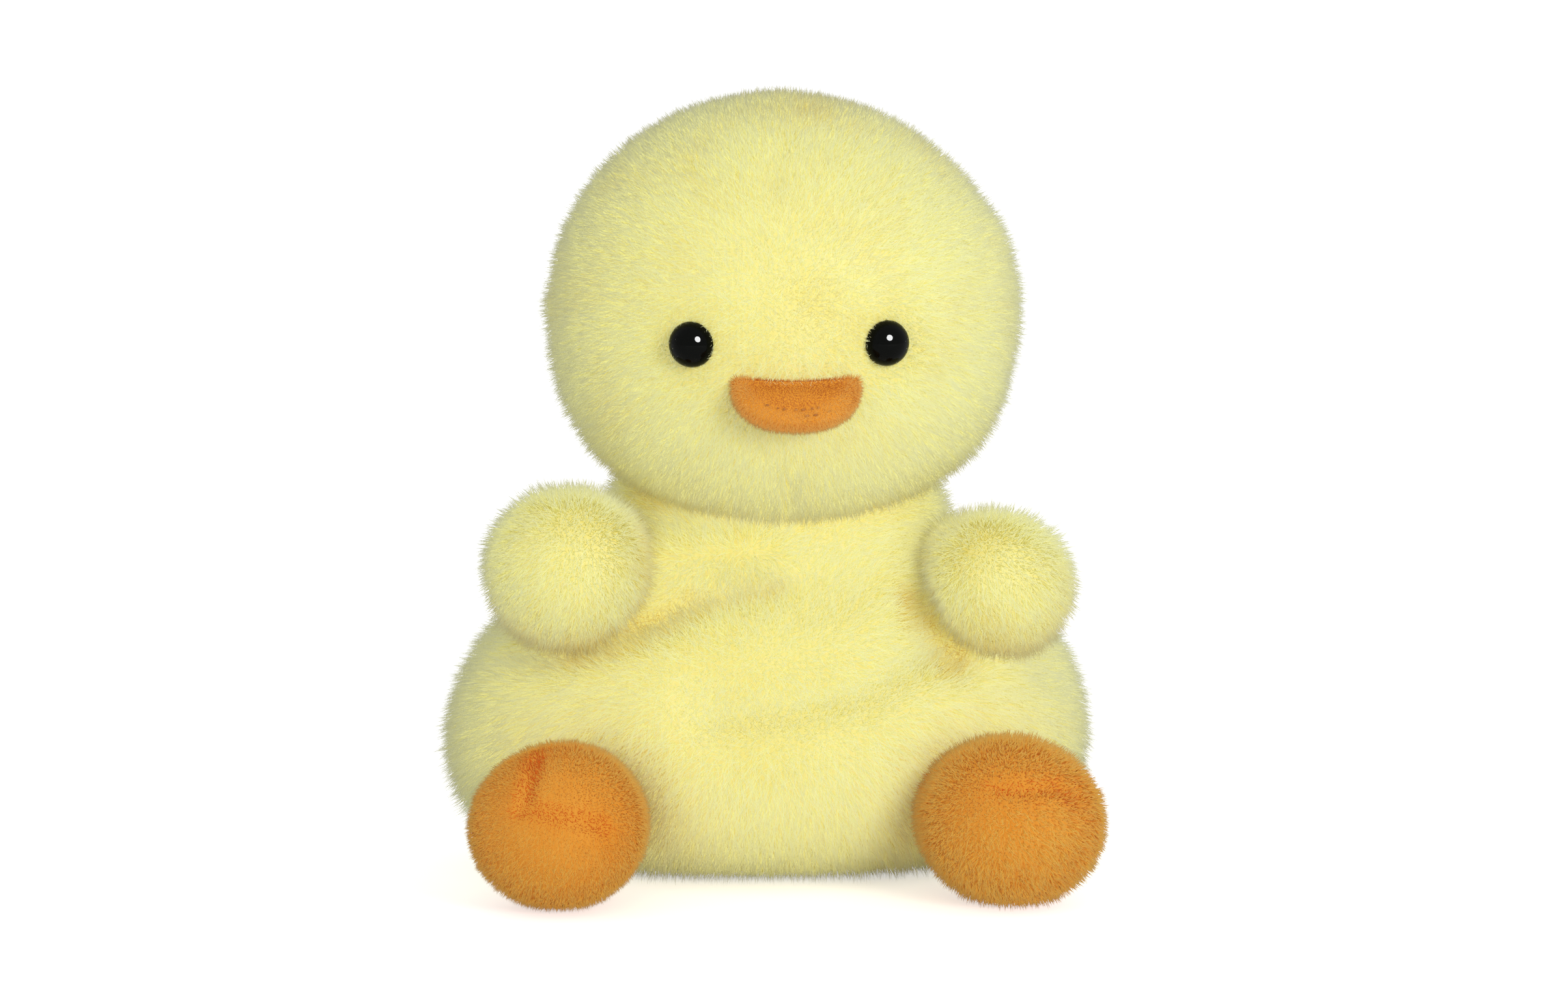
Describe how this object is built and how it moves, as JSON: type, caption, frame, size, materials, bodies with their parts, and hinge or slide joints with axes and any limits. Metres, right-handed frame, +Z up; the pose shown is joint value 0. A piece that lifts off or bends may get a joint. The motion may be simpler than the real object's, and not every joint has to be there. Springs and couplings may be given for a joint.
{
  "type": "plush chick",
  "caption": "Seated plush chick of pile-fabric panels round soft fillings, with a ball head, stubby wings, ball feet, a padded beak and button eyes, weighted to sit by itself.",
  "frame": {"origin": "on the table, under the middle of the toy's bounding box", "axes": "+Z up; the chick faces -Y; +X is towards the chick's own left side"},
  "size_m": [0.1046, 0.0917, 0.1265],
  "materials": {
    "yellow_plush": "pale lemon pile, a few millimetres long",
    "orange_plush": "short orange pile",
    "fibrefill": "loose white fibre",
    "lining_cotton": "plain woven lining",
    "pellets": "small rounded pellets",
    "thread": "twisted sewing thread",
    "eye_plastic": "polished black dome",
    "washer_plastic": "moulded white"
  },
  "bodies": {
    "torso": {"body_front_panel": "yellow_plush", "body_back_panel": "yellow_plush", "body_seat_panel": "yellow_plush", "body_stuffing": "fibrefill", "bean_pouch_upper": "lining_cotton", "bean_pouch_lower": "lining_cotton", "bean_filling": "pellets"},
    "neck": {"neck_thread": "thread"},
    "head": {"head_left_panel": "yellow_plush", "head_right_panel": "yellow_plush", "head_back_panel": "yellow_plush", "head_stuffing": "fibrefill", "left_eye": "eye_plastic", "right_eye": "eye_plastic", "left_eye_washer": "washer_plastic", "right_eye_washer": "washer_plastic", "beak_upper_panel": "orange_plush", "beak_lower_panel": "orange_plush", "beak_stuffing": "fibrefill"},
    "left_wing": {"left_wing_front_panel": "yellow_plush", "left_wing_back_panel": "yellow_plush", "left_wing_stuffing": "fibrefill"},
    "right_wing": {"right_wing_front_panel": "yellow_plush", "right_wing_back_panel": "yellow_plush", "right_wing_stuffing": "fibrefill"},
    "left_foot": {"left_foot_upper_panel": "orange_plush", "left_foot_sole_panel": "orange_plush", "left_foot_stuffing": "fibrefill"},
    "right_foot": {"right_foot_upper_panel": "orange_plush", "right_foot_sole_panel": "orange_plush", "right_foot_stuffing": "fibrefill"}
  },
  "joints": [
    {"name": "head_turn", "type": "hinge", "parent": "torso", "child": "neck", "pos_m": [0.0018, 0.00777, 0.0915], "axis": [0, 0, 1], "range_deg": [-20, 20], "stiffness_Nm_per_rad": 0.04},
    {"name": "head_nod", "type": "hinge", "parent": "neck", "child": "head", "pos_m": [0.0018, 0.00777, 0.0915], "axis": [1, 0, 0], "range_deg": [-12, 12], "stiffness_Nm_per_rad": 0.04},
    {"name": "left_wing_swing", "type": "hinge", "parent": "torso", "child": "left_wing", "pos_m": [0.03057, -0.00021, 0.0515], "axis": [-0.866, -0.5, 0], "range_deg": [0, 36], "stiffness_Nm_per_rad": 0.006},
    {"name": "right_wing_swing", "type": "hinge", "parent": "torso", "child": "right_wing", "pos_m": [-0.0271, -0.00021, 0.0515], "axis": [-0.866, 0.5, 0], "range_deg": [0, 24], "stiffness_Nm_per_rad": 0.006},
    {"name": "left_foot_swing", "type": "hinge", "parent": "torso", "child": "left_foot", "pos_m": [0.03261, -0.01948, 0.0135], "axis": [-0.9272, -0.3746, 0], "range_deg": [-15, 15], "stiffness_Nm_per_rad": 0.01},
    {"name": "right_foot_swing", "type": "hinge", "parent": "torso", "child": "right_foot", "pos_m": [-0.03102, -0.02023, 0.0135], "axis": [-0.9272, 0.3746, 0], "range_deg": [-15, 15], "stiffness_Nm_per_rad": 0.01}
  ]
}
